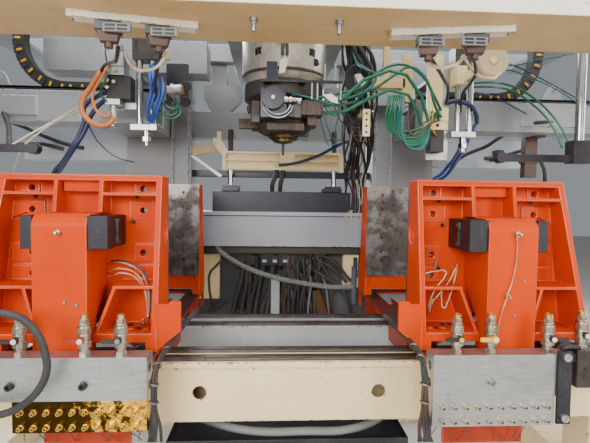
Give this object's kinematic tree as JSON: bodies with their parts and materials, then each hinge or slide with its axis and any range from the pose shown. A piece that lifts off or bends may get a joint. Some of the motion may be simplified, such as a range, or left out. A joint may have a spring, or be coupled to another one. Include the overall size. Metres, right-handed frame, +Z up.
{
  "type": "blow moulding machine",
  "caption": "Twin-station extrusion blow moulding machine with sliding mould clamp carriages, a hanging parison head and a screw extruder above.",
  "frame": {"origin": "centre of the floor anchor pattern, on the floor in the machine's middle plane", "axes": "+X to the machine's right seen from its front, +Y to the back, +Z up"},
  "size_m": [3.5, 2.4857, 3.175],
  "materials": {
    "cream_paint": "satin cream machine paint, worn",
    "grey_paint": "satin light grey machine paint",
    "dark_paint": "dark blue black paint",
    "orange_paint": "glossy orange machine enamel, chipped",
    "black_steel": "blackened steel",
    "ground_steel": "ground tool steel, stained",
    "rail_steel": "hardened rail steel, greasy",
    "chrome": "hard chrome",
    "aluminium": "milled aluminium",
    "head_steel": "heat stained steel",
    "rusty_steel": "heat rusted steel",
    "die_bronze": "oxidised bronze",
    "nickel_brass": "nickel plated brass",
    "lever_yellow": "yellow lever enamel",
    "lever_red": "red lever enamel",
    "lever_black": "black plastic sleeve",
    "connector_grey": "grey die cast hood",
    "chain_plastic": "black nylon",
    "hose_rubber": "black rubber",
    "hose_green": "green polyurethane",
    "drive_blue": "blue gearbox enamel"
  },
  "bodies": {
    "frame": {"base_frame": "cream_paint", "front_rail_beam": "cream_paint", "middle_rail_beam": "grey_paint", "linear_rails": "rail_steel", "rear_columns": "grey_paint", "rear_cross_beams": "grey_paint", "stretcher_frame": "cream_paint", "head_support_frame": "grey_paint", "top_front_beam": "cream_paint", "plug_connectors": "connector_grey", "upper_beams": "grey_paint", "cable_chains": "chain_plastic", "extruder_platform": "grey_paint", "side_lift_columns": "chrome", "head_drum": "head_steel", "head_body": "rusty_steel", "head_die": "die_bronze", "head_actuator": "dark_paint", "extruder_barrel": "head_steel", "extruder_drive": "drive_blue", "hopper": "ground_steel", "hydraulic_panel": "grey_paint", "hydraulic_hoses": "hose_rubber", "head_hoses": "hose_green", "blow_unit_frames": "aluminium"},
    "core": {"die_core": "black_steel"},
    "screw": {"extruder_screw": "black_steel"},
    "left_blow_slide": {"left_blow_slide": "chrome"},
    "left_carriage": {"left_carriage": "orange_paint", "left_manifold": "aluminium", "left_nipple_strip": "aluminium", "left_valve_bodies": "nickel_brass", "left_hose_loop": "hose_rubber"},
    "left_front_clamp": {"left_front_platen": "orange_paint", "left_front_mould_plate": "ground_steel", "left_front_arm": "orange_paint", "left_front_crosshead": "black_steel"},
    "left_rear_clamp": {"left_rear_platen": "orange_paint", "left_rear_mould_plate": "ground_steel", "left_rear_arm": "orange_paint", "left_rear_crosshead": "black_steel"},
    "left_valve_lever_1": {"left_valve_lever_1": "lever_black"},
    "left_valve_lever_2": {"left_valve_lever_2": "lever_red"},
    "left_valve_lever_3": {"left_valve_lever_3": "lever_black"},
    "right_blow_slide": {"right_blow_slide": "chrome"},
    "right_carriage": {"right_carriage": "orange_paint", "right_manifold": "aluminium", "right_nipple_strip": "aluminium", "right_valve_bodies": "nickel_brass"},
    "right_front_clamp": {"right_front_platen": "orange_paint", "right_front_mould_plate": "ground_steel", "right_front_arm": "orange_paint", "right_front_crosshead": "black_steel"},
    "right_rear_clamp": {"right_rear_platen": "orange_paint", "right_rear_mould_plate": "ground_steel", "right_rear_arm": "orange_paint", "right_rear_crosshead": "black_steel"},
    "right_valve_lever_1": {"right_valve_lever_1": "lever_black"},
    "right_valve_lever_2": {"right_valve_lever_2": "lever_yellow"},
    "right_valve_lever_3": {"right_valve_lever_3": "lever_black"}
  },
  "joints": [
    {"name": "core_lift", "type": "slide", "parent": "frame", "child": "core", "axis": [0, 0, 1], "range_m": [0, 0.02]},
    {"name": "screw_turn", "type": "hinge", "parent": "frame", "child": "screw", "pos_m": [-0.021, 0.5, 2.56], "axis": [0, 1, 0], "continuous": true},
    {"name": "left_blow_pin_lower", "type": "slide", "parent": "frame", "child": "left_blow_slide", "axis": [0, 0, -1], "range_m": [0, 0.25]},
    {"name": "left_carriage_travel", "type": "slide", "parent": "frame", "child": "left_carriage", "axis": [1, 0, 0], "range_m": [0, 0.7]},
    {"name": "left_front_clamp_close", "type": "slide", "parent": "left_carriage", "child": "left_front_clamp", "axis": [0, 1, 0], "range_m": [0, 0.24]},
    {"name": "left_rear_clamp_close", "type": "slide", "parent": "left_carriage", "child": "left_rear_clamp", "axis": [0, -1, 0], "range_m": [0, 0.24]},
    {"name": "left_valve_1_turn", "type": "hinge", "parent": "left_carriage", "child": "left_valve_lever_1", "pos_m": [-0.569, -0.7, 1.037], "axis": [0, 1, 0], "range_deg": [0, 90]},
    {"name": "left_valve_2_turn", "type": "hinge", "parent": "left_carriage", "child": "left_valve_lever_2", "pos_m": [-0.688, -0.7, 1.037], "axis": [0, 1, 0], "range_deg": [0, 90]},
    {"name": "left_valve_3_turn", "type": "hinge", "parent": "left_carriage", "child": "left_valve_lever_3", "pos_m": [-0.893, -0.7, 1.037], "axis": [0, 1, 0], "range_deg": [0, 90]},
    {"name": "right_blow_pin_lower", "type": "slide", "parent": "frame", "child": "right_blow_slide", "axis": [0, 0, -1], "range_m": [0, 0.25]},
    {"name": "right_carriage_travel", "type": "slide", "parent": "frame", "child": "right_carriage", "axis": [1, 0, 0], "range_m": [-0.7, 0]},
    {"name": "right_front_clamp_close", "type": "slide", "parent": "right_carriage", "child": "right_front_clamp", "axis": [0, 1, 0], "range_m": [0, 0.24]},
    {"name": "right_rear_clamp_close", "type": "slide", "parent": "right_carriage", "child": "right_rear_clamp", "axis": [0, -1, 0], "range_m": [0, 0.24]},
    {"name": "right_valve_1_turn", "type": "hinge", "parent": "right_carriage", "child": "right_valve_lever_1", "pos_m": [0.569, -0.7, 1.037], "axis": [0, 1, 0], "range_deg": [0, 90]},
    {"name": "right_valve_2_turn", "type": "hinge", "parent": "right_carriage", "child": "right_valve_lever_2", "pos_m": [0.688, -0.7, 1.037], "axis": [0, 1, 0], "range_deg": [0, 90]},
    {"name": "right_valve_3_turn", "type": "hinge", "parent": "right_carriage", "child": "right_valve_lever_3", "pos_m": [0.893, -0.7, 1.037], "axis": [0, 1, 0], "range_deg": [-90, 0]}
  ],
  "couplings": [
    {"joint": "left_rear_clamp_close", "follows": "left_front_clamp_close", "ratio": 1},
    {"joint": "right_rear_clamp_close", "follows": "right_front_clamp_close", "ratio": 1}
  ]
}
